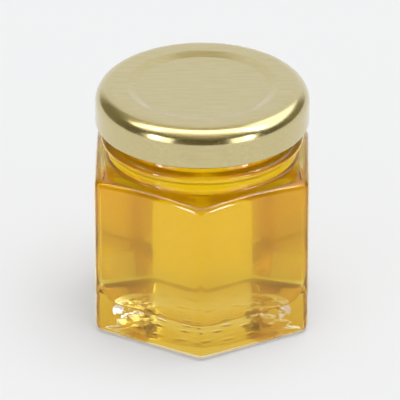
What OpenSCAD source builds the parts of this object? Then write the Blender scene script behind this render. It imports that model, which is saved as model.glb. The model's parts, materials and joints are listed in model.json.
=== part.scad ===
// Small hexagonal glass jar of honey with a gold twist-off cap.
// Millimetres, +Z up, origin at the centre of the base, one corner towards -Y.

/* [Body] */
// Width across the flats
body_w = 45.9; // [42:0.1:70]
// Height of the walls at the corners
body_h = 36.4; // [24:0.1:90]
// Radius of the upright corners
corner_r = 2.5; // [1.6:0.1:5]
// Radius between the base and the walls
heel_r = 1.5; // [0.5:0.1:1.5]
// Radius between the walls and the shoulder
shoulder_r = 1.4; // [0.5:0.1:1.5]
// Rise of the shoulder from its corners to the neck
shoulder_rise = 1; // [0.4:0.1:4]

/* [Glass] */
// Thickness of the walls
wall = 2.4; // [1.5:0.1:3]
// Thickness of the shoulder
shoulder_t = 2.6; // [1.5:0.1:4]
// Thickness of the base
base_t = 6; // [4:0.1:10]
// Radius of the upright corners inside
inner_corner_r = 4; // [2:0.1:6]
// Radius between the walls and the floor inside
floor_r = 4.5; // [2:0.1:8]
// Radius of the hollow under the base
hollow_r = 16; // [8:0.1:18]
// Depth of the hollow under the base
hollow_d = 1.2; // [0.4:0.1:2]

/* [Neck] */
// Outer radius of the neck
neck_r = 20.3; // [16:0.1:20.8]
// Height of the neck above the shoulder
neck_h = 15.75; // [14:0.05:24]
// Thickness of the neck
neck_wall = 3; // [2:0.1:3.4]
// Radius where the neck meets the shoulder outside
cove_r = 0.9; // [0.3:0.1:1.4]
// Radius where the neck opens into the body
throat_r = 1.2; // [0.4:0.1:2]
// How far the carrying bead stands out from the neck
bead_out = 1.5; // [0.5:0.05:2]
// Height of the carrying bead
bead_h = 2.2; // [1:0.1:3]
// Middle of the carrying bead above the shoulder
bead_up = 3.8; // [2.6:0.1:5]
// Radius on the rim's outer edge
rim_r = 1.2; // [0.6:0.1:1.2]
// Radius on the rim's inner edge
mouth_edge_r = 0.8; // [0.3:0.1:1]

/* [Thread] */
// Number of thread starts and of lugs in the cap
starts = 4; // [3:1:6]
// How far the thread stands out from the neck
thread_out = 1.1; // [0.6:0.05:1.3]
// Height of the thread ridge
thread_h = 1.5; // [1:0.1:2]
// Angle that each thread ridge covers
thread_sweep = 62; // [30:1:70]
// Angle that each lug covers
lug_sweep = 16; // [8:1:24]
// Clearance between a lug and the neck
lug_gap = 0.35; // [0.1:0.05:0.5]
// Clearance between a lug and the thread above it
lug_drop = 0.4; // [0.1:0.05:1]

/* [Honey] */
// Free height between the honey and the rim
headspace = 6; // [2:0.1:10]

/* [Cap] */
// Height of the cap
cap_h = 8.65; // [8:0.05:12]
// Thickness of the cap's sheet
cap_t = 0.25; // [0.2:0.01:0.5]
// Clearance between the thread and the cap's skirt
cap_gap = 1.35; // [1.2:0.05:2]
// Radius between the cap's top and its skirt
cap_edge_r = 3.8; // [2:0.1:4]
// Clearance between the mouth and the step of the cap's panel
panel_gap = 0.9; // [0.5:0.05:3]
// Depth of the cap's sunken panel
panel_d = 0.7; // [0.6:0.1:2]
// Width of the sloping step around the panel
step_w = 2.2; // [1.8:0.1:4]
// Radius at the foot and at the head of the step
step_r = 0.8; // [0.3:0.05:0.85]
// Radius of the rolled edge
curl_r = 0.55; // [0.3:0.05:0.8]

/* [Hidden] */
$fn = 96;
arc_steps = 5;
dome_steps = 4;
// How far a rounding profile stands off the face it leads into
stand_off = 0.2;
// How far a blending curve starts below the surface it joins
bite = 0.12;
// How far a solid is sunk into its neighbour, or a cut runs past a face
overlap = 0.3;
glass_color = [0.87, 0.9, 0.88, 0.4];
honey_color = [0.93, 0.68, 0.1];
cap_color = [0.8, 0.74, 0.52];
half_w = body_w / 2;
inner_half_w = half_w - wall;
mouth_r = neck_r - neck_wall;
corner_reach = (half_w - corner_r) / cos(30) + corner_r;
shoulder_z = body_h + shoulder_rise;
rim_z = shoulder_z + neck_h;
honey_z = rim_z - headspace;
bead_z = shoulder_z + bead_up;
throat_z = shoulder_z - shoulder_t;
ceiling_r = min(3, inner_half_w - mouth_r - throat_r);
cap_top = rim_z + cap_t;
cap_foot = cap_top - cap_h;
cap_r = neck_r + thread_out + cap_gap + cap_t;
step_top_r = mouth_r - panel_gap;
lug_z = cap_foot + curl_r;
thread_z = lug_z + curl_r + lug_drop + thread_h / 2;

// Points along an arc about [x, z] in a revolved profile
function arc(x, z, r, from, to, steps = arc_steps) =
    [for (i = [0:steps])
        let (a = from + (to - from) * i / steps)
        [x + r * cos(a), z + r * sin(a)]];

// A hexagon with rounded corners, one of them towards -Y
function hexagon(half, r) =
    [for (corner = [0:5], i = [0:arc_steps])
        let (facing = 60 * corner - 90, reach = (half - r) / cos(30), a = facing - 30 + 60 * i / arc_steps)
        [reach * cos(facing) + r * cos(a), reach * sin(facing) + r * sin(a)]];

// Height of the shoulder's surface at a distance from the axis
function shoulder_at(r) =
    let (out = max(0, (r - neck_r) / (corner_reach - neck_r)))
    shoulder_z - shoulder_rise * pow(out, 1.5);

function reversed(points) = [for (i = [len(points) - 1:-1:0]) points[i]];

function mirrored(points) = concat(points, reversed([for (p = points) [-p[0], p[1]]]));

// Right-hand edge of an upright profile whose corners are quarter ellipses, from its foot to its head
function rounded_edge(x, foot_z, foot_r, head_z, head_r) = concat(
    [for (i = [0:arc_steps])
        let (a = 90 * i / arc_steps)
        [x - foot_r + (foot_r + stand_off) * sin(a), foot_z + foot_r * (1 - cos(a))]],
    [for (i = [0:arc_steps])
        let (a = 90 * i / arc_steps)
        [x - head_r + (head_r + stand_off) * cos(a), head_z - head_r * (1 - sin(a))]]);

// Six-sided vessel with a domed top and rounded edges, its top lowered by drop
module vessel(half, r, foot_z, foot_r, head_r, drop) {
    reach = (half - r) / cos(30) + r;
    flat_top = shoulder_at(half - head_r) - drop;
    corner_top = shoulder_at(reach - head_r) - drop;
    dome = [for (i = [1:dome_steps])
        let (x = reach - head_r + (neck_r - reach + head_r) * i / dome_steps)
        [x, shoulder_at(x) - drop]];
    intersection() {
        translate([0, 0, foot_z])
            linear_extrude(height = shoulder_z - foot_z)
                polygon(hexagon(half, r));
        rotate_extrude()
            polygon(concat([[0, foot_z]], rounded_edge(reach, foot_z, foot_r, corner_top, head_r),
                reach - head_r > neck_r ? dome : [], [[0, shoulder_z - drop]]));
        for_flats(reach)
            polygon(mirrored(concat(rounded_edge(half, foot_z, foot_r, flat_top, head_r),
                [[0, shoulder_z + shoulder_t]])));
    }
}

// One upright profile swept along each of the three pairs of flats, and what they share
module for_flats(reach) {
    intersection_for (turn = [0, 60, 120])
        rotate([90, 0, turn])
            linear_extrude(height = 3 * reach, center = true)
                children();
}

// Neck with its carrying bead, from inside the body up to the rim
module neck_solid() {
    root = arc(neck_r + cove_r, shoulder_z + cove_r - bite, cove_r, 270, 180);
    bead = [for (a = [-90:18:90]) [neck_r + bead_out * cos(a), bead_z + bead_h / 2 * sin(a)]];
    rim = arc(neck_r - rim_r, rim_z - rim_r, rim_r, 0, 90);
    rotate_extrude()
        polygon(concat([[0, throat_z], [neck_r + cove_r, throat_z]], root, bead, rim, [[0, rim_z]]));
}

// Thread ridges, each a band with sloping sides
module threads() {
    for (k = [0:starts - 1])
        rotate((k + 0.5) * 360 / starts - thread_sweep / 2)
            rotate_extrude(angle = thread_sweep)
                translate([neck_r, thread_z])
                    polygon([[-overlap, -thread_h / 2], [0, -thread_h / 2], [thread_out, -thread_h / 5],
                        [thread_out, thread_h / 5], [0, thread_h / 2], [-overlap, thread_h / 2]]);
}

// Hollow of the body and the mouth, filled up to a height
module hollow(top) {
    flare = arc(mouth_r + throat_r, throat_z + throat_r - bite, throat_r, 270, 180);
    mouth = arc(mouth_r + mouth_edge_r, rim_z - mouth_edge_r, mouth_edge_r, 180, 90);
    open = top > rim_z;
    vessel(inner_half_w, inner_corner_r, base_t, floor_r, ceiling_r, shoulder_t);
    rotate_extrude()
        polygon(concat([[0, throat_z - throat_r], [mouth_r + throat_r, throat_z - throat_r]],
            flare, open ? mouth : [], [[open ? mouth_r + mouth_edge_r : mouth_r, top], [0, top]]));
}

// Shallow dished hollow that leaves a flat ring to stand on
module base_hollow() {
    dish_r = (pow(hollow_r, 2) + pow(hollow_d, 2)) / (2 * hollow_d);
    translate([0, 0, hollow_d - dish_r])
        sphere(r = dish_r);
}

module jar() {
    color(glass_color)
        difference() {
            union() {
                vessel(half_w, corner_r, 0, heel_r, shoulder_r, 0);
                neck_solid();
                threads();
            }
            hollow(rim_z + overlap);
            base_hollow();
        }
}

module honey() {
    color(honey_color)
        hollow(honey_z);
}

// The cap's face line, sunk into the sheet by depth: panel, step, top, edge and skirt
function cap_line(depth) =
    let (sink = panel_d - 2 * step_r,
         tilt = atan2(sink, step_w) + asin(2 * step_r / norm([step_w, sink])),
         foot_r = step_top_r - step_w)
    concat(
        [[0, cap_top - panel_d - depth]],
        arc(foot_r, cap_top - panel_d + step_r, step_r + depth, -90, tilt - 90),
        arc(step_top_r, cap_top - step_r, step_r - depth, tilt + 90, 90),
        arc(cap_r - cap_edge_r, cap_top - cap_edge_r, cap_edge_r - depth, 90, 0, 2 * arc_steps),
        [[cap_r - depth, cap_foot + curl_r]]);

// Lugs that catch under the threads
module lugs() {
    for (k = [0:starts - 1])
        rotate((k + 0.5) * 360 / starts - lug_sweep / 2)
            rotate_extrude(angle = lug_sweep)
                translate([neck_r + lug_gap, lug_z - curl_r / 2])
                    square([cap_r - curl_r - neck_r - lug_gap, curl_r]);
}

module cap() {
    color(cap_color)
        union() {
            rotate_extrude()
                polygon(concat(cap_line(0), reversed(cap_line(cap_t))));
            rotate_extrude()
                translate([cap_r - curl_r, cap_foot + curl_r])
                    circle(r = curl_r, $fn = 24);
            lugs();
        }
}

jar();
honey();
cap();
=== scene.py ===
import json
import math

import bmesh
import bpy
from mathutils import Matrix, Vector, noise

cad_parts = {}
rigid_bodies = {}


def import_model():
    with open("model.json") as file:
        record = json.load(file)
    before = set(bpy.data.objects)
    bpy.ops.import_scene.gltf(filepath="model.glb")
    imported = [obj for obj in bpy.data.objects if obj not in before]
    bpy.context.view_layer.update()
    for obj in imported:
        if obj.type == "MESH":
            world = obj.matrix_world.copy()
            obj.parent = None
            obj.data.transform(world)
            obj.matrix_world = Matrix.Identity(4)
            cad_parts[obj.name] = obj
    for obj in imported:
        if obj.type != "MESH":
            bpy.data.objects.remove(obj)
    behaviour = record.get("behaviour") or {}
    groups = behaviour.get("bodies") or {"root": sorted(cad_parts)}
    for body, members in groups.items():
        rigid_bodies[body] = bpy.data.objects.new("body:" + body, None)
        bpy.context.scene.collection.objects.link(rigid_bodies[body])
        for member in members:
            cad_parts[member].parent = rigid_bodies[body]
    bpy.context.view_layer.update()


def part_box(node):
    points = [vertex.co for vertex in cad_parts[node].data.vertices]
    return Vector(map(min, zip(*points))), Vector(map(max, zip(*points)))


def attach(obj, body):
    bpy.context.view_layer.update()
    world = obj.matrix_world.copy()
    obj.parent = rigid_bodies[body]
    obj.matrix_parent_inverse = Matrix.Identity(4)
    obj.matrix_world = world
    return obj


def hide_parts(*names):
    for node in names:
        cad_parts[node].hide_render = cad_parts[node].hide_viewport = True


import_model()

MM = 0.001
COS_30 = math.cos(math.radians(30))
TAN_30 = math.tan(math.radians(30))

# Sizes that the construction gives
BODY_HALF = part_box("jar")[1].x
RIM_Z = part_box("jar")[1].z
HOLLOW_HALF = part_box("honey")[1].x
FLOOR_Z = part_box("honey")[0].z
HONEY_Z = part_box("honey")[1].z
CAP_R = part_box("cap")[1].x
CAP_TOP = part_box("cap")[1].z
CAP_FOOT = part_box("cap")[0].z

# Body of the jar
CORNER_R = 2.5 * MM
HEEL_R = 1.5 * MM
EDGE_R = 1.4 * MM
HOLLOW_CORNER_R = 4 * MM
HOLLOW_FLOOR_R = 4.5 * MM
SHOULDER_RISE = 1 * MM
SHOULDER_T = 2.6 * MM
DISH_R = 16 * MM
DISH_DEPTH = 1.2 * MM
DISH_STEP = 0.8 * MM
SEAM = 0.12 * MM

# Neck of the jar
NECK_R = 20.3 * MM
NECK_H = 15.75 * MM
NECK_WALL = 3 * MM
MOUTH_R = NECK_R - NECK_WALL
COVE_R = 0.9 * MM
THROAT_R = 1.2 * MM
BEAD_OUT = 1.5 * MM
BEAD_HALF = 1.5 * MM
BEAD_SLOPE = 2.0
BEAD_UP = 3.8 * MM
RIM_R = 1.2 * MM
MOUTH_EDGE_R = 0.8 * MM
STARTS = 4
THREAD_OUT = 1.1 * MM
THREAD_HALF = 0.75 * MM
THREAD_SWEEP = math.radians(62)
THREAD_RUN_OUT = math.radians(6)
THREAD_FLANK = 0.6
THREAD_Z = CAP_FOOT + 2.25 * MM
SHOULDER_Z = RIM_Z - NECK_H
THROAT_Z = SHOULDER_Z - SHOULDER_T
CORNER_REACH = (BODY_HALF - CORNER_R) / COS_30 + CORNER_R

# Relief under the base, which stops short of the heel
RELIEF_MARGIN = 2 * MM
STIPPLE_COARSE = 1.1 * MM
STIPPLE_FINE = 0.55 * MM
STIPPLE_FINE_SHARE = 0.6
STIPPLE_H = 0.05 * MM
STIPPLE_FREE_R = 6 * MM
WAVE_SPAN = 5 * MM
WAVE_H = 0.1 * MM
DASH_H = 0.16 * MM
DASH_HALF = 0.8 * MM
# Each ring of dashes: its radius, how many dashes, and where the first one starts
DASH_RINGS = ((5.5 * MM, 5, 0.3), (8.3 * MM, 8, 0.0), (13.2 * MM, 15, 0.7))

# Honey
SINK = 0.15 * MM
MENISCUS = 0.5 * MM
MENISCUS_LINE = ((-SINK, MENISCUS), (MENISCUS * 0.3, MENISCUS * 0.4),
                 (MENISCUS, MENISCUS * 0.1), (2 * MENISCUS, 0))

# Cap
SHEET_T = 0.25 * MM
CAP_EDGE_R = 3.8 * MM
STEP_TOP_R = MOUTH_R - 0.9 * MM
STEP_W = 2.2 * MM
STEP_ROUND = 0.8 * MM
PANEL_DEPTH = 0.7 * MM
CURL_R = 0.55 * MM
LUG_SWEEP = math.radians(16)
LUG_IN = 0.95
CURL_STOP = -225
CURL_RISE = 1.2 * CURL_R
LUG_H = 2.2 * CURL_R
SKIRT_ROWS = (2.5 * MM, 1 * MM, 0)

# Glass. Where it lies against honey it bends light little, and the honey's own surface not at all.
GLASS_IOR = 1.52
WET_IOR = 1.02
HONEY_IOR = 1.0
GLASS_WAVES = (140, 140, 90)
GLASS_WAVE_DEPTH = 0.03 * MM

# Honey's colour and haze
HONEY_TINT = (1.0, 0.93, 0.6, 1)
HONEY_DEPTH_TINT = (0.998, 0.915, 0.05, 1)
HONEY_DEPTH = 112
HAZE_TINT = (1.0, 0.97, 0.7, 1)
HAZE = 55
HAZE_FORWARD = 0.985

# Gold lacquer
ROLLING_GRAIN = (150, 2600, 2600)
LACQUER_CLOUD = (1200, 1800, 1800)
GOLD_DARK = (0.53, 0.446, 0.205, 1)
GOLD_LIGHT = (0.71, 0.616, 0.335, 1)
GOLD_ROUGHNESS = 0.09
GRAIN_ROUGHNESS = 0.12
CLOUD_ROUGHNESS = 0.08
GRAIN_DEPTH = 0.003 * MM
LACQUER = 0.4
LACQUER_ROUGHNESS = 0.1

# Loops between a hexagon and a circle: how round each is, and its share of the way
SHOULDER_LOOPS = ((0.3, 0.35), (0.5, 0.7), (1.0, 1.0))
BASE_LOOPS = ((0.25, 0.7), (0.5, 0.4), (1.0, 0.0))
CEILING_ROUNDNESS = 0.6

# How finely the meshes are drawn
CORNER_CUTS = 6
FLAT_CUTS = 9
ROUND_STEPS = 6
HOLLOW_ROWS = 4
BODY_ROWS = 6
BEAD_ROWS = 12
THREAD_ROWS = 10
CAP_SIDES = 160
PANEL_STEPS = 5
CAP_EDGE_STEPS = 16
CURL_STEPS = 12
POLE_RINGS = (0.7, 0.4, 0.15)

# How near counts as being at a place, and as being the same point
CLOSE = 0.01 * MM
MERGE = 0.001 * MM

# Camera
CAM_AIM = Vector((-0.5, -0.7, 25.66)) * MM
CAM_DISTANCE = 1.2
CAM_TURN = math.radians(0.64)
CAM_RISE = math.radians(28)
CAM_LENS = 499
CAM_CLIP = 20

# Floor
FLOOR_GAP = 0.1 * MM
FLOOR_R = 3
FLOOR_TINT = (0.5, 0.51, 0.52, 1)
FLOOR_GLOW_TINT = (1.0, 0.98, 0.96, 1)
FLOOR_GLOW = 0.35

# Levels of the studio's lights. A level whose name starts with LIT or DIM is for rays seen through
# the glass.
ROOM = (0.14, 0.126, 0.075, 1)
SIDE_ROOM = (0.26, 0.238, 0.15, 1)
LIT_ROOM = (0.66, 0.56, 0.47, 1)
CEILING = (0.62, 0.58, 0.45, 1)
BACKDROP = (0.88, 0.89, 0.92, 1)
LIT_BACK = (0.74, 0.64, 0.6, 1)
OVERHEAD = (1.5, 1.48, 1.4, 1)
TUBE = (4.6, 4.0, 3.3, 1)
WINDOW = (2.4, 2.4, 2.35, 1)
LAMP = (15.0, 14.6, 14.6, 1)
DIM_LAMP = (0.7, 0.66, 0.6, 1)
DIM_WINDOW = (0.56, 0.52, 0.46, 1)
SIDE_PANEL = (2.0, 2.1, 2.15, 1)
STRIP = (14.0, 13.8, 13.4, 1)
FAR_STRIP = (7.0, 6.2, 6.0, 1)
DOME = (0.4, 0.4, 0.405, 1)
KEY = (4.9, 4.9, 4.93, 1)
FRONT = (0.9, 0.9, 0.9, 1)

# Where the lights are: the soft edges of each, as what is measured, where the edge starts and where
# the light is full. In degrees, "side" goes round from the front, "turn" is the same to either side
# and "rise" goes up from the floor. On a ceiling at height 1, "along" runs left and right and
# "across" runs away from the front.
SIDES_AT = (("turn", 70, 115),)
CEILING_AT = (("rise", 30, 60),)
LIT_BACK_AT = (("rise", 0, 6),)
BACK_AT = (("turn", 132, 152),)
TOP_AT = (("rise", 54, 62),)
SIDE_PANEL_AT = (("side", 66, 84), ("side", 150, 135), ("rise", 22, 32), ("rise", 70, 58))
OVERHEAD_AT = (("across", -0.5, -0.35), ("across", 0.3, 0.15), ("along", 1.5, 1.0))
TUBE_AT = (("across", -0.2, -0.08), ("across", 0.14, 0.02))
STRIP_AT = (("side", 72, 74), ("side", 81, 79), ("rise", 36, 40), ("rise", 68, 64))
FAR_STRIP_AT = (("side", -72, -74), ("side", -81, -79), ("rise", 50, 53), ("rise", 66, 63))
WINDOWS_AT = (("turn", 29, 33), ("turn", 57, 53), ("rise", 30, 26))
RIGHT_LAMP_AT = (("side", 48, 50), ("side", 56, 54))
LEFT_LAMP_AT = (("side", -47, -49), ("side", -56, -54))
LAMPS_AT = (("rise", 6, 9), ("rise", 25, 22))
FRONT_AT = (("turn", 20, 30), ("turn", 70, 60), ("rise", 2, 8), ("rise", 44, 36))
LOWEST_CEILING = 0.05
KEY_TOWARDS = (0.14, 0.0, 0.99)
KEY_EDGE = 0.85


# ---------------------------------------------------------------- modelling helpers

def edited():
    return bmesh.from_edit_mesh(bpy.context.active_object.data)


def add_circle(name, sides, radius):
    """Starts a piece as a wire circle, in edit mode."""
    bpy.ops.object.select_all(action="DESELECT")
    bpy.ops.mesh.primitive_circle_add(vertices=sides, radius=radius)
    piece = bpy.context.active_object
    piece.name = name
    piece.data.name = name
    bpy.ops.object.mode_set(mode="EDIT")
    return piece


def choose(test, kind="VERT"):
    """Selects the vertices or the faces that pass a test."""
    bpy.ops.mesh.select_mode(type=kind)
    bpy.ops.mesh.select_all(action="DESELECT")
    shape = edited()
    for part in {"VERT": shape.verts, "FACE": shape.faces}[kind]:
        if test(part):
            part.select_set(True)
    shape.select_flush_mode()
    bmesh.update_edit_mesh(bpy.context.active_object.data)


def chosen_places():
    shape = edited()
    return [v.co.copy() for v in shape.verts if v.select]


def place_chosen(rule):
    """Puts each selected vertex where a rule says."""
    shape = edited()
    for v in shape.verts:
        if v.select:
            v.co = rule(v.co)
    bmesh.update_edit_mesh(bpy.context.active_object.data)


def fit_loop(width, z, roundness=0.0):
    """Brings the selected loop to a half width and a height, and pulls it towards a circle."""
    if roundness:
        bpy.ops.transform.tosphere(value=roundness)
    loop = chosen_places()
    at = sum(place.z for place in loop) / len(loop)
    scale = width / max(place.x for place in loop)
    bpy.ops.transform.resize(value=(scale, scale, 1), center_override=(0, 0, at))
    bpy.ops.transform.translate(value=(0, 0, z - at))


def next_loop(width, z, roundness=0.0):
    bpy.ops.mesh.extrude_edges_move()
    fit_loop(width, z, roundness)


def draw_loops(path):
    for width, z in path:
        next_loop(width, z)


def close_pole():
    """Shrinks the selected loop to its middle in three rings and closes it."""
    loop = chosen_places()
    width, z = max(place.x for place in loop), loop[0].z
    draw_loops([(width * share, z) for share in POLE_RINGS])
    bpy.ops.mesh.extrude_edges_move()
    bpy.ops.mesh.merge(type="CENTER")


def arc(x, z, r, start, stop, steps=ROUND_STEPS):
    """Points along an arc of an upright profile, without its first one."""
    turns = [math.radians(start + (stop - start) * i / steps) for i in range(1, steps + 1)]
    return [(x + r * math.cos(turn), z + r * math.sin(turn)) for turn in turns]


def shape_hexagon(half, corner_r, z):
    """Makes the selected six-sided wire a hexagon with rounded corners, one of them towards -Y."""
    bpy.ops.mesh.bevel(offset=corner_r * TAN_30, segments=CORNER_CUTS, affect="VERTICES")
    shape = edited()
    for edge in [e for e in shape.edges if e.select]:
        edge.select_set(edge.calc_length() > half / 2)
    bmesh.update_edit_mesh(bpy.context.active_object.data)
    bpy.ops.mesh.subdivide(number_cuts=FLAT_CUTS)
    bpy.ops.mesh.select_linked()
    fit_loop(half, z)


def shoulder_at(r):
    """Height of the shoulder at a distance from the axis."""
    out = min(max(0.0, (r - NECK_R) / (CORNER_REACH - NECK_R)), 1.0)
    return SHOULDER_Z - SHOULDER_RISE * out ** 1.5


def settle(drop):
    """Lays the selected loop on the shoulder's crown, lowered by drop."""
    place_chosen(lambda place: Vector((place.x, place.y, shoulder_at(place.xy.length) - drop)))


def finish_mesh(piece):
    bpy.ops.mesh.select_all(action="SELECT")
    bpy.ops.mesh.remove_doubles(threshold=MERGE)
    bpy.ops.mesh.normals_make_consistent(inside=False)
    bpy.ops.mesh.select_all(action="DESELECT")
    bpy.ops.object.mode_set(mode="OBJECT")
    bpy.ops.object.shade_smooth()
    return piece


# ---------------------------------------------------------------- jar

def corner_to_corner(half):
    return half / COS_30


def draw_hollow(grow):
    """Draws the hollow from its floor to its throat, grown by a margin, from a fresh hexagon."""
    half = HOLLOW_HALF + grow
    floor_z = FLOOR_Z - grow
    ceiling_r = HOLLOW_HALF - MOUTH_R - THROAT_R
    ceiling_drop = SHOULDER_T - grow
    shape_hexagon(half - HOLLOW_FLOOR_R, HOLLOW_CORNER_R, floor_z)
    draw_loops(arc(half - HOLLOW_FLOOR_R, floor_z + HOLLOW_FLOOR_R, HOLLOW_FLOOR_R, 270, 360))
    foot = floor_z + HOLLOW_FLOOR_R
    head = SHOULDER_Z - SHOULDER_RISE - ceiling_drop - ceiling_r
    draw_loops([(half, foot + (head - foot) * i / HOLLOW_ROWS) for i in range(1, HOLLOW_ROWS)])
    for width, up in arc(half - ceiling_r, 0, ceiling_r, 0, 90):
        next_loop(width, head)
        settle(ceiling_drop + ceiling_r - up)
    throat_r = MOUTH_R + grow
    next_loop(throat_r + THROAT_R, THROAT_Z, CEILING_ROUNDNESS)
    settle(ceiling_drop)
    next_loop(throat_r + THROAT_R, THROAT_Z, 1.0)
    draw_loops(arc(throat_r + THROAT_R, THROAT_Z + THROAT_R, THROAT_R, 270, 180))


def close_floor(z):
    choose(lambda v: abs(v.co.z - z) < CLOSE and v.is_boundary)
    close_pole()


def draw_body():
    """Heel, walls and shoulder of the jar, up to the foot of its neck."""
    draw_loops(arc(BODY_HALF - HEEL_R, HEEL_R, HEEL_R, 270, 360))
    head = SHOULDER_Z - SHOULDER_RISE - EDGE_R
    draw_loops([(BODY_HALF, HEEL_R + (head - HEEL_R) * i / BODY_ROWS) for i in range(1, BODY_ROWS)])
    for width, up in [(BODY_HALF, 0)] + arc(BODY_HALF - EDGE_R, 0, EDGE_R, 0, 90):
        next_loop(width, head)
        settle(EDGE_R - up)
    deck_w = BODY_HALF - EDGE_R - NECK_R - COVE_R
    for roundness, share in SHOULDER_LOOPS:
        next_loop(BODY_HALF - EDGE_R - deck_w * share, SHOULDER_Z, roundness)
        settle(0)


def thread_height(place):
    """How far a thread stands out at a place on the neck."""
    turn = math.atan2(place.y, place.x) - math.pi / STARTS
    off = abs((turn + math.pi / STARTS) % (2 * math.pi / STARTS) - math.pi / STARTS)
    run_out = min(1.0, max(0.0, (THREAD_SWEEP / 2 - off) / THREAD_RUN_OUT))
    flank = THREAD_HALF * THREAD_FLANK
    crest = min(1.0, max(0.0, (THREAD_HALF - abs(place.z - THREAD_Z)) / flank))
    return THREAD_OUT * run_out * crest


def draw_neck():
    """Cove, carrying bead, threads, rim and mouth, down to the honey's level."""
    draw_loops(arc(NECK_R + COVE_R, SHOULDER_Z + COVE_R, COVE_R, 270, 180))
    bead_z = SHOULDER_Z + BEAD_UP
    for turn in [math.radians(180 * i / BEAD_ROWS - 90) for i in range(BEAD_ROWS + 1)]:
        out = BEAD_OUT * max(0.0, math.cos(turn)) ** BEAD_SLOPE
        next_loop(NECK_R + out, bead_z + BEAD_HALF * math.sin(turn))
    thread_rows = [THREAD_Z + THREAD_HALF * (2 * i / THREAD_ROWS - 1) for i in range(THREAD_ROWS + 1)]
    draw_loops([(NECK_R, z) for z in thread_rows])
    draw_loops([(NECK_R, RIM_Z - RIM_R)])
    draw_loops(arc(NECK_R - RIM_R, RIM_Z - RIM_R, RIM_R, 0, 90))
    draw_loops([(MOUTH_R + MOUTH_EDGE_R, RIM_Z)])
    draw_loops(arc(MOUTH_R + MOUTH_EDGE_R, RIM_Z - MOUTH_EDGE_R, MOUTH_EDGE_R, 90, 180))
    draw_loops([(MOUTH_R, HONEY_Z + MENISCUS)])
    choose(lambda v: abs(v.co.xy.length - NECK_R) < 5 * CLOSE and abs(v.co.z - THREAD_Z) < THREAD_HALF)
    place_chosen(lambda place: place + Vector((place.x, place.y, 0)).normalized() * thread_height(place))


def base_relief(place):
    """Rise of the underside at a place: stipple, a broad wave and rings of short curved dashes."""
    r, turn = place.xy.length, math.atan2(place.y, place.x)
    fine = STIPPLE_FINE_SHARE * noise.noise(place / STIPPLE_FINE)
    grain = noise.noise(place / STIPPLE_COARSE) + fine
    rise = STIPPLE_H * max(0.0, grain) * min(1.0, r / STIPPLE_FREE_R)
    rise += WAVE_H * max(0.0, noise.noise(place / WAVE_SPAN))
    for ring_r, dashes, start in DASH_RINGS:
        across = max(0.0, 1 - abs(r - ring_r) / DASH_HALF)
        rise += DASH_H * across * max(0.0, math.cos(dashes * turn + start))
    return rise


def draw_underside():
    """Standing ring and the shallow dish inside it, with its relief."""
    choose(lambda v: v.is_boundary and v.co.z < CLOSE)
    for roundness, share in BASE_LOOPS:
        next_loop(DISH_R + (BODY_HALF - HEEL_R - DISH_R) * share, 0, roundness)
    rings = int(DISH_R / DISH_STEP)
    for i in range(1, rings - 1):
        r = DISH_R - i * DISH_STEP
        next_loop(r, DISH_DEPTH * (1 - (r / DISH_R) ** 2))
    close_pole()
    inner = corner_to_corner(BODY_HALF - HEEL_R) - RELIEF_MARGIN

    def in_underside(face):
        level = abs(face.normal.z) > 0.9 and face.calc_center_median().z < DISH_DEPTH + 10 * CLOSE
        return level and all(v.co.xy.length < inner for v in face.verts)

    choose(in_underside, "FACE")
    bpy.ops.mesh.subdivide(number_cuts=1)
    place_chosen(lambda place: place + Vector((0, 0, base_relief(place))))


def make_jar():
    jar = add_circle("glass_jar", 6, corner_to_corner(BODY_HALF))
    shape_hexagon(BODY_HALF - HEEL_R, CORNER_R, 0)
    draw_body()
    draw_neck()
    bpy.ops.mesh.select_all(action="DESELECT")
    bpy.ops.mesh.primitive_circle_add(vertices=6, radius=corner_to_corner(HOLLOW_HALF))
    draw_hollow(0)
    choose(lambda v: v.is_boundary and abs(v.co.xy.length - MOUTH_R) < CLOSE)
    bpy.ops.mesh.bridge_edge_loops()
    close_floor(FLOOR_Z)
    draw_underside()
    for side in (-1, 1):
        choose(lambda v: abs(v.co.x) < CLOSE and v.co.y * side > CORNER_REACH - EDGE_R)
        bpy.ops.transform.translate(value=(0, side * SEAM, 0))
    return finish_mesh(jar)


def is_wet(face):
    """Tells whether a face of the jar lies against the honey."""
    centre = face.center
    middle = Vector((0, 0, (FLOOR_Z + SHOULDER_Z) / 2))
    in_height = FLOOR_Z - CLOSE < centre.z < HONEY_Z + MENISCUS
    in_body = centre.z < THROAT_Z or centre.xy.length < NECK_R - 1 * MM
    return in_height and in_body and face.normal.dot(middle - centre) > 0


def make_honey():
    honey = add_circle("honey_fill", 6, corner_to_corner(HOLLOW_HALF))
    draw_hollow(SINK)
    for inwards, up in MENISCUS_LINE:
        next_loop(MOUTH_R - inwards, HONEY_Z + up)
    close_pole()
    close_floor(FLOOR_Z - SINK)
    return finish_mesh(honey)


# ---------------------------------------------------------------- cap

def cap_line(depth):
    """Profile of the cap's sheet from its panel to its skirt, sunk into the sheet by depth."""
    sink = PANEL_DEPTH - 2 * STEP_ROUND
    tilt = math.degrees(math.atan2(sink, STEP_W) + math.asin(2 * STEP_ROUND / math.hypot(STEP_W, sink)))
    foot_r = STEP_TOP_R - STEP_W
    panel_z = CAP_TOP - PANEL_DEPTH - depth
    return ([(foot_r * 0.5, panel_z), (foot_r, panel_z)]
            + arc(foot_r, CAP_TOP - PANEL_DEPTH + STEP_ROUND, STEP_ROUND + depth, -90, tilt - 90,
                  PANEL_STEPS)
            + arc(STEP_TOP_R, CAP_TOP - STEP_ROUND, STEP_ROUND - depth, tilt + 90.01, 90, PANEL_STEPS)
            + [(CAP_R - CAP_EDGE_R, CAP_TOP - depth)]
            + arc(CAP_R - CAP_EDGE_R, CAP_TOP - CAP_EDGE_R, CAP_EDGE_R - depth, 90, 0, CAP_EDGE_STEPS))


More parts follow.
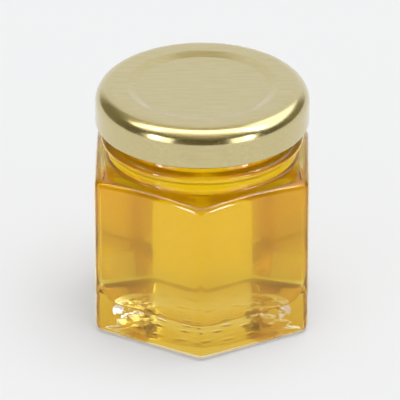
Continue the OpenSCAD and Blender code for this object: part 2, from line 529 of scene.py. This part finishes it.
def press_lugs():
    """Presses the rolled edge inwards at each thread."""
    for k in range(STARTS):
        facing = (k + 0.5) * 2 * math.pi / STARTS

        def in_lug(v):
            turn = math.atan2(v.co.y, v.co.x) - facing
            near = abs((turn + math.pi) % (2 * math.pi) - math.pi) < LUG_SWEEP / 2
            return near and v.co.xy.length < CAP_R - CURL_R and v.co.z < CAP_FOOT + LUG_H

        choose(in_lug)
        bpy.ops.transform.resize(value=(LUG_IN, LUG_IN, 1), center_override=(0, 0, CAP_FOOT))


def make_cap():
    outside = cap_line(0)
    cap = add_circle("gold_cap", CAP_SIDES, outside[0][0])
    fit_loop(*outside[0])
    draw_loops(outside[1:])
    curl_z = CAP_FOOT + CURL_R
    draw_loops([(CAP_R, curl_z + up) for up in SKIRT_ROWS])
    draw_loops(arc(CAP_R - CURL_R, curl_z, CURL_R, 0, CURL_STOP, CURL_STEPS))
    draw_loops([(CAP_R - SHEET_T, curl_z + CURL_RISE)])
    draw_loops(cap_line(SHEET_T)[::-1])
    close_pole()
    choose(lambda v: v.is_boundary)
    close_pole()
    press_lugs()
    return finish_mesh(cap)


# ---------------------------------------------------------------- node helper

# Sockets of the node that mixes two colours
COLOUR_A = 6
COLOUR_B = 7
COLOUR_OUT = 2


class Sheet:
    """Adds nodes to a node tree and joins them, so that a recipe reads as formulas."""

    def __init__(self, tree):
        self.nodes, self.links = tree.nodes, tree.links

    def feed(self, socket, source):
        """Gives a socket its value, or joins it to another node's socket."""
        if hasattr(source, "node"):
            self.links.new(source, socket)
        else:
            socket.default_value = source

    def put(self, kind, settings, *sources):
        node = self.nodes.new(kind)
        for name, value in settings.items():
            setattr(node, name, value)
        for place, source in enumerate(sources):
            self.feed(node.inputs[place], source)
        return node

    def math(self, kind, *sources):
        return self.put("ShaderNodeMath", {"operation": kind}, *sources).outputs[0]

    def both(self, *shares):
        """Multiplies shares."""
        product = shares[0]
        for share in shares[1:]:
            product = self.math("MULTIPLY", product, share)
        return product

    def ease(self, value, start, stop):
        """Goes softly from 0 to 1 while value goes from start to stop."""
        settings = {"interpolation_type": "SMOOTHSTEP"}
        return self.put("ShaderNodeMapRange", settings, value, start, stop, 0.0, 1.0).outputs[0]

    def blend(self, share, first, second):
        """Goes from the first colour to the second as share goes from 0 to 1."""
        node = self.put("ShaderNodeMix", {"data_type": "RGBA"}, share)
        self.feed(node.inputs[COLOUR_A], first)
        self.feed(node.inputs[COLOUR_B], second)
        return node.outputs[COLOUR_OUT]

    def grain(self, stretch, detail, roughness):
        """Noise in object space, with its number of cells to the metre along X, Y and Z."""
        where = self.put("ShaderNodeTexCoord", {}).outputs["Object"]
        spread = self.put("ShaderNodeMapping", {}, where)
        spread.inputs["Scale"].default_value = stretch
        texture = self.put("ShaderNodeTexNoise", {}, spread.outputs[0])
        texture.inputs["Scale"].default_value = 1.0
        texture.inputs["Detail"].default_value = detail
        texture.inputs["Roughness"].default_value = roughness
        return texture.outputs["Fac"]

    def bump(self, height, depth):
        node = self.put("ShaderNodeBump", {})
        node.inputs["Strength"].default_value = 1.0
        node.inputs["Distance"].default_value = depth
        self.links.new(height, node.inputs["Height"])
        return node.outputs[0]


# ---------------------------------------------------------------- materials

def new_material(name):
    material = bpy.data.materials.new(name)
    material.use_nodes = True
    return material, Sheet(material.node_tree), material.node_tree.nodes["Principled BSDF"]


def glass_material(name, ior):
    """Moulded soda glass: clear, with the soft waves that a mould leaves."""
    material, sheet, surface = new_material(name)
    surface.inputs["Base Color"].default_value = (1, 1, 1, 1)
    surface.inputs["Transmission Weight"].default_value = 1
    surface.inputs["Roughness"].default_value = 0
    surface.inputs["IOR"].default_value = ior
    waves = sheet.grain(GLASS_WAVES, detail=1.0, roughness=0.55)
    sheet.links.new(sheet.bump(waves, GLASS_WAVE_DEPTH), surface.inputs["Normal"])
    return material


def honey_material():
    """Clear golden honey, clouded by fine crystals and pollen."""
    material, sheet, surface = new_material("clear_honey")
    surface.inputs["Base Color"].default_value = HONEY_TINT
    surface.inputs["Transmission Weight"].default_value = 1
    surface.inputs["Roughness"].default_value = 0
    surface.inputs["IOR"].default_value = HONEY_IOR
    depth = sheet.put("ShaderNodeVolumeAbsorption", {})
    depth.inputs["Color"].default_value = HONEY_DEPTH_TINT
    depth.inputs["Density"].default_value = HONEY_DEPTH
    plain = sheet.nodes["Material Output"]
    sheet.links.new(depth.outputs[0], plain.inputs["Volume"])
    haze = sheet.put("ShaderNodeVolumeScatter", {})
    haze.inputs["Color"].default_value = HAZE_TINT
    haze.inputs["Density"].default_value = HAZE
    haze.inputs["Anisotropy"].default_value = HAZE_FORWARD
    both = sheet.put("ShaderNodeAddShader", {}, depth.outputs[0], haze.outputs[0])
    sheet.put("ShaderNodeOutputMaterial", {"target": "CYCLES"}, surface.outputs[0], both.outputs[0])
    plain.is_active_output = True
    return material


def gold_material():
    """Tinplate under gold lacquer, with the fine straight grain of its rolling."""
    material, sheet, surface = new_material("brushed_gold")
    lines = sheet.grain(ROLLING_GRAIN, detail=3.0, roughness=0.65)
    cloud = sheet.grain(LACQUER_CLOUD, detail=3.0, roughness=0.55)
    tone = sheet.blend(lines, GOLD_DARK, GOLD_LIGHT)
    sheet.links.new(tone, surface.inputs["Base Color"])
    surface.inputs["Metallic"].default_value = 1
    clouded = sheet.math("MULTIPLY", cloud, CLOUD_ROUGHNESS)
    worn = sheet.math("MULTIPLY_ADD", lines, GRAIN_ROUGHNESS, clouded)
    sheet.links.new(sheet.math("ADD", worn, GOLD_ROUGHNESS), surface.inputs["Roughness"])
    surface.inputs["Coat Weight"].default_value = LACQUER
    surface.inputs["Coat Roughness"].default_value = LACQUER_ROUGHNESS
    sheet.links.new(sheet.bump(lines, GRAIN_DEPTH), surface.inputs["Normal"])
    return material


def floor_material():
    material, _, surface = new_material("pale_floor")
    surface.inputs["Base Color"].default_value = FLOOR_TINT
    surface.inputs["Emission Color"].default_value = FLOOR_GLOW_TINT
    surface.inputs["Emission Strength"].default_value = FLOOR_GLOW
    surface.inputs["Roughness"].default_value = 0.9
    surface.inputs["Specular IOR Level"].default_value = 0
    return material


# ---------------------------------------------------------------- floor, camera and light

def make_floor():
    bpy.ops.object.select_all(action="DESELECT")
    bpy.ops.mesh.primitive_circle_add(vertices=64, radius=FLOOR_R, fill_type="NGON",
                                      location=(0, 0, -FLOOR_GAP))
    floor = bpy.context.active_object
    floor.name = "floor"
    floor.data.materials.append(floor_material())


def make_camera():
    level = math.cos(CAM_RISE)
    back = Vector((math.sin(CAM_TURN) * level, -math.cos(CAM_TURN) * level, math.sin(CAM_RISE)))
    data = bpy.data.cameras.new("camera")
    data.lens = CAM_LENS
    data.clip_end = CAM_CLIP
    camera = bpy.data.objects.new("camera", data)
    camera.location = CAM_AIM + back * CAM_DISTANCE
    camera.rotation_mode = "QUATERNION"
    camera.rotation_quaternion = back.to_track_quat("Z", "Y")
    bpy.context.scene.collection.objects.link(camera)
    bpy.context.scene.camera = camera


def make_studio():
    """A pale tent: light back and overhead, a dim room in front with windows and lamps in it.

    Mirrored rays, rays seen through the glass and rays that light a surface get levels of their own.
    """
    world = bpy.data.worlds.new("studio")
    world.use_nodes = True
    world.cycles.sampling_method = "NONE"
    bpy.context.scene.world = world
    sheet = Sheet(world.node_tree)
    where = sheet.put("ShaderNodeTexCoord", {}).outputs["Generated"]
    x, y, z = sheet.put("ShaderNodeSeparateXYZ", {}, where).outputs
    rise = sheet.math("ARCSINE", z)
    side = sheet.math("ARCTAN2", x, sheet.math("MULTIPLY", y, -1.0))
    turn = sheet.math("ABSOLUTE", side)
    ray = sheet.put("ShaderNodeLightPath", {}).outputs
    seen_through = ray["Is Transmission Ray"]
    height = sheet.math("MAXIMUM", z, LOWEST_CEILING)
    along = sheet.math("ABSOLUTE", sheet.math("DIVIDE", x, height))
    across = sheet.math("DIVIDE", y, height)
    degree = math.radians(1)
    measures = {"side": (side, degree), "turn": (turn, degree), "rise": (rise, degree),
                "along": (along, 1), "across": (across, 1)}

    def inside(edges):
        """How far a direction lies inside a light's soft edges, from 0 to 1."""
        shares = []
        for name, start, full in edges:
            value, unit = measures[name]
            shares.append(sheet.ease(value, start * unit, full * unit))
        return sheet.both(*shares)

    room = sheet.blend(inside(SIDES_AT), ROOM, SIDE_ROOM)
    room = sheet.blend(seen_through, room, LIT_ROOM)
    light = sheet.blend(inside(CEILING_AT), room, CEILING)
    back = sheet.blend(sheet.both(seen_through, inside(LIT_BACK_AT)), BACKDROP, LIT_BACK)
    light = sheet.blend(inside(BACK_AT), light, back)
    light = sheet.blend(inside(TOP_AT), light, CEILING)
    light = sheet.blend(inside(SIDE_PANEL_AT), light, SIDE_PANEL)
    overhead = inside(OVERHEAD_AT)
    light = sheet.blend(overhead, light, OVERHEAD)
    light = sheet.blend(sheet.both(overhead, inside(TUBE_AT)), light, TUBE)
    strip = sheet.blend(seen_through, STRIP, SIDE_PANEL)
    light = sheet.blend(inside(STRIP_AT), light, strip)
    far_strip = sheet.blend(seen_through, FAR_STRIP, CEILING)
    light = sheet.blend(inside(FAR_STRIP_AT), light, far_strip)
    window = sheet.blend(seen_through, WINDOW, DIM_WINDOW)
    light = sheet.blend(inside(WINDOWS_AT), light, window)
    either_lamp = sheet.math("ADD", inside(RIGHT_LAMP_AT), inside(LEFT_LAMP_AT))
    lamp = sheet.blend(seen_through, LAMP, DIM_LAMP)
    light = sheet.blend(sheet.both(either_lamp, inside(LAMPS_AT)), light, lamp)

    key = sheet.put("ShaderNodeVectorMath", {"operation": "DOT_PRODUCT"}, where, KEY_TOWARDS)
    dome = sheet.blend(sheet.ease(key.outputs["Value"], KEY_EDGE, 1.0), DOME, KEY)
    dome = sheet.blend(inside(FRONT_AT), dome, FRONT)
    light = sheet.blend(sheet.math("MINIMUM", ray["Diffuse Depth"], 1.0), light, dome)
    light = sheet.blend(ray["Is Camera Ray"], light, BACKDROP)
    sheet.links.new(light, sheet.nodes["Background"].inputs["Color"])


# ---------------------------------------------------------------- build

make_floor()
make_camera()
make_studio()

jar = make_jar()
jar.data.materials.append(glass_material("clear_glass", GLASS_IOR))
jar.data.materials.append(glass_material("wet_glass", WET_IOR))
for face in jar.data.polygons:
    face.material_index = int(is_wet(face))
honey = make_honey()
honey.data.materials.append(honey_material())
cap = make_cap()
cap.data.materials.append(gold_material())
for piece, node, slot in ((jar, "jar", "glass"), (honey, "honey", "honey"), (cap, "cap", "cap")):
    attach(piece, "root")
    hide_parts(node)

scene = bpy.context.scene
scene.view_settings.view_transform = "Standard"
scene.cycles.max_bounces = 32
scene.cycles.transmission_bounces = 32
scene.cycles.glossy_bounces = 8
scene.cycles.volume_bounces = 16
